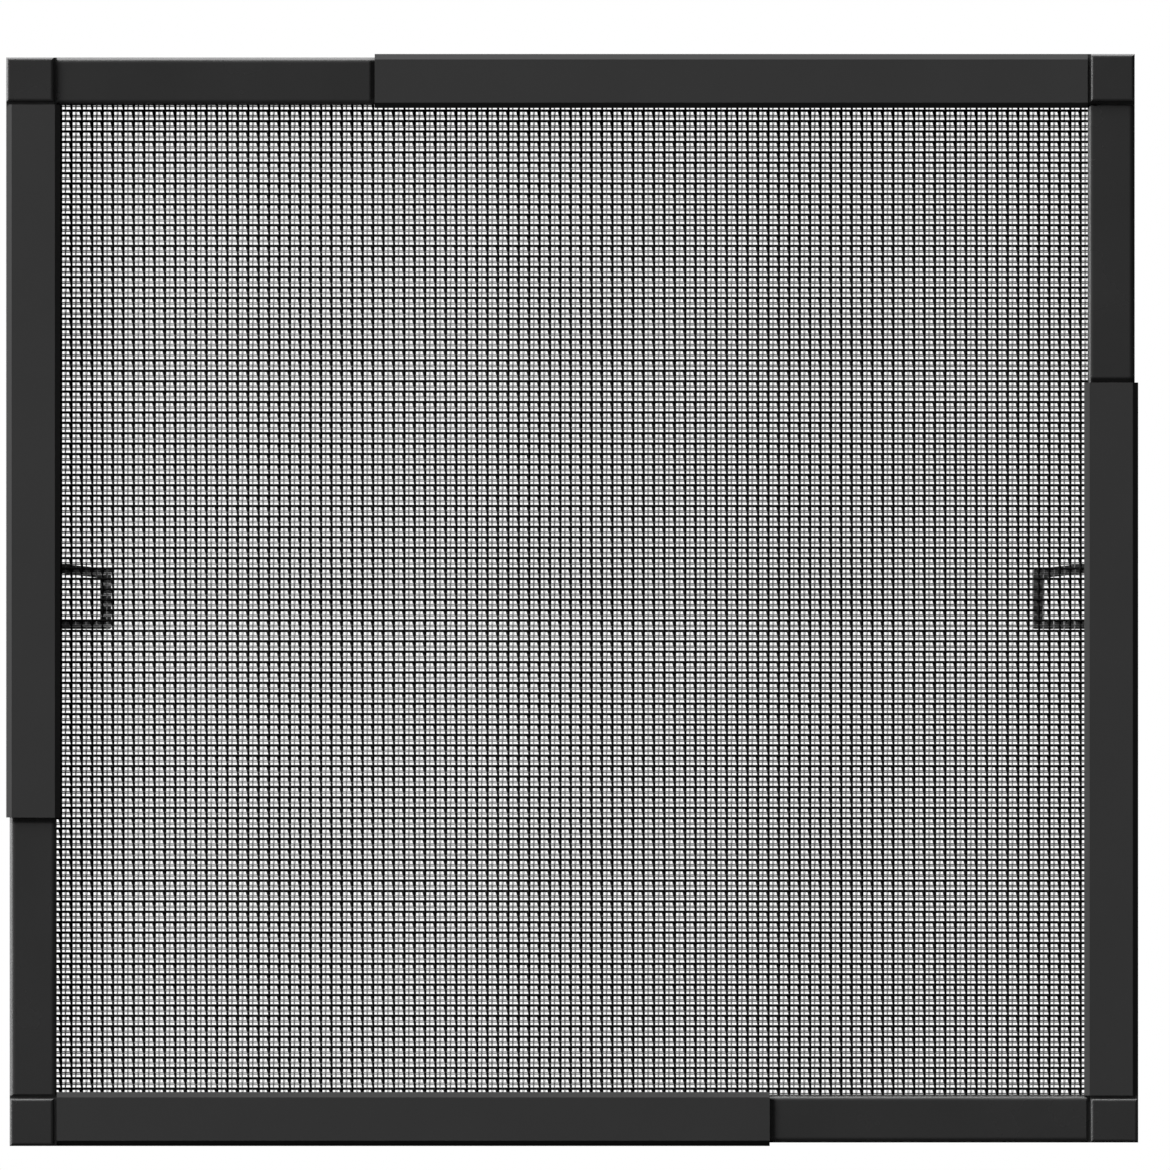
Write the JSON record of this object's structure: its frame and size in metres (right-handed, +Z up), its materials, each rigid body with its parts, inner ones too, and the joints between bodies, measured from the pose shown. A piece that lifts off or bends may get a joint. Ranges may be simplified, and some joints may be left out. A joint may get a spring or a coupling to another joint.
{
  "type": "adjustable window screen",
  "caption": "Adjustable insect screen for a window: a flat frame of telescoping rails and moulded corners, with a net held behind it and finger pull tabs at its sides.",
  "frame": {"origin": "centre of the whole screen's box, pull tabs included", "axes": "+X to the right and +Z up as the screen is seen from its front, +Y from the front to the back"},
  "size_m": [0.566, 0.0162, 0.546],
  "materials": {
    "outer_rail": "dark grey powder coat, fine matt texture",
    "inner_rail": "dark grey powder coat, fine matt texture",
    "corner": "moulded, fine matt grain",
    "tape": "black woven hook tape",
    "hem": "black woven binding tape with a stitched seam",
    "net": "black coated woven thread",
    "pull_tab": "moulded, matt black",
    "tab_pad": "grey adhesive foam"
  },
  "bodies": {
    "upper_left": {"top_left_corner": "corner", "top_inner_rail": "inner_rail", "top_inner_tape": "tape", "left_outer_rail": "outer_rail", "left_outer_tape": "tape", "top_hem": "hem", "left_hem": "hem", "net": "net", "left_pull_tab": "pull_tab", "left_tab_pad": "tab_pad"},
    "upper_right": {"top_right_corner": "corner", "right_inner_rail": "inner_rail", "right_inner_tape": "tape", "top_outer_rail": "outer_rail", "top_outer_tape": "tape", "right_hem": "hem"},
    "lower_right": {"bottom_right_corner": "corner", "bottom_inner_rail": "inner_rail", "bottom_inner_tape": "tape", "right_outer_rail": "outer_rail", "right_outer_tape": "tape", "right_pull_tab": "pull_tab", "right_tab_pad": "tab_pad"},
    "lower_left": {"bottom_left_corner": "corner", "left_inner_rail": "inner_rail", "left_inner_tape": "tape", "bottom_outer_rail": "outer_rail", "bottom_outer_tape": "tape", "bottom_hem": "hem"}
  },
  "joints": [
    {"name": "width_slide", "type": "slide", "parent": "upper_left", "child": "upper_right", "axis": [-1, 0, 0], "range_m": [0, 0.15], "deforming": ["net", "top_hem", "bottom_hem"]},
    {"name": "left_height_slide", "type": "slide", "parent": "upper_left", "child": "lower_left", "axis": [0, 0, 1], "range_m": [0, 0.13], "deforming": ["net", "left_hem"]},
    {"name": "right_height_slide", "type": "slide", "parent": "upper_right", "child": "lower_right", "axis": [0, 0, 1], "range_m": [0, 0.13], "deforming": ["right_hem"]}
  ],
  "couplings": [
    {"joint": "right_height_slide", "follows": "left_height_slide", "ratio": 1}
  ]
}
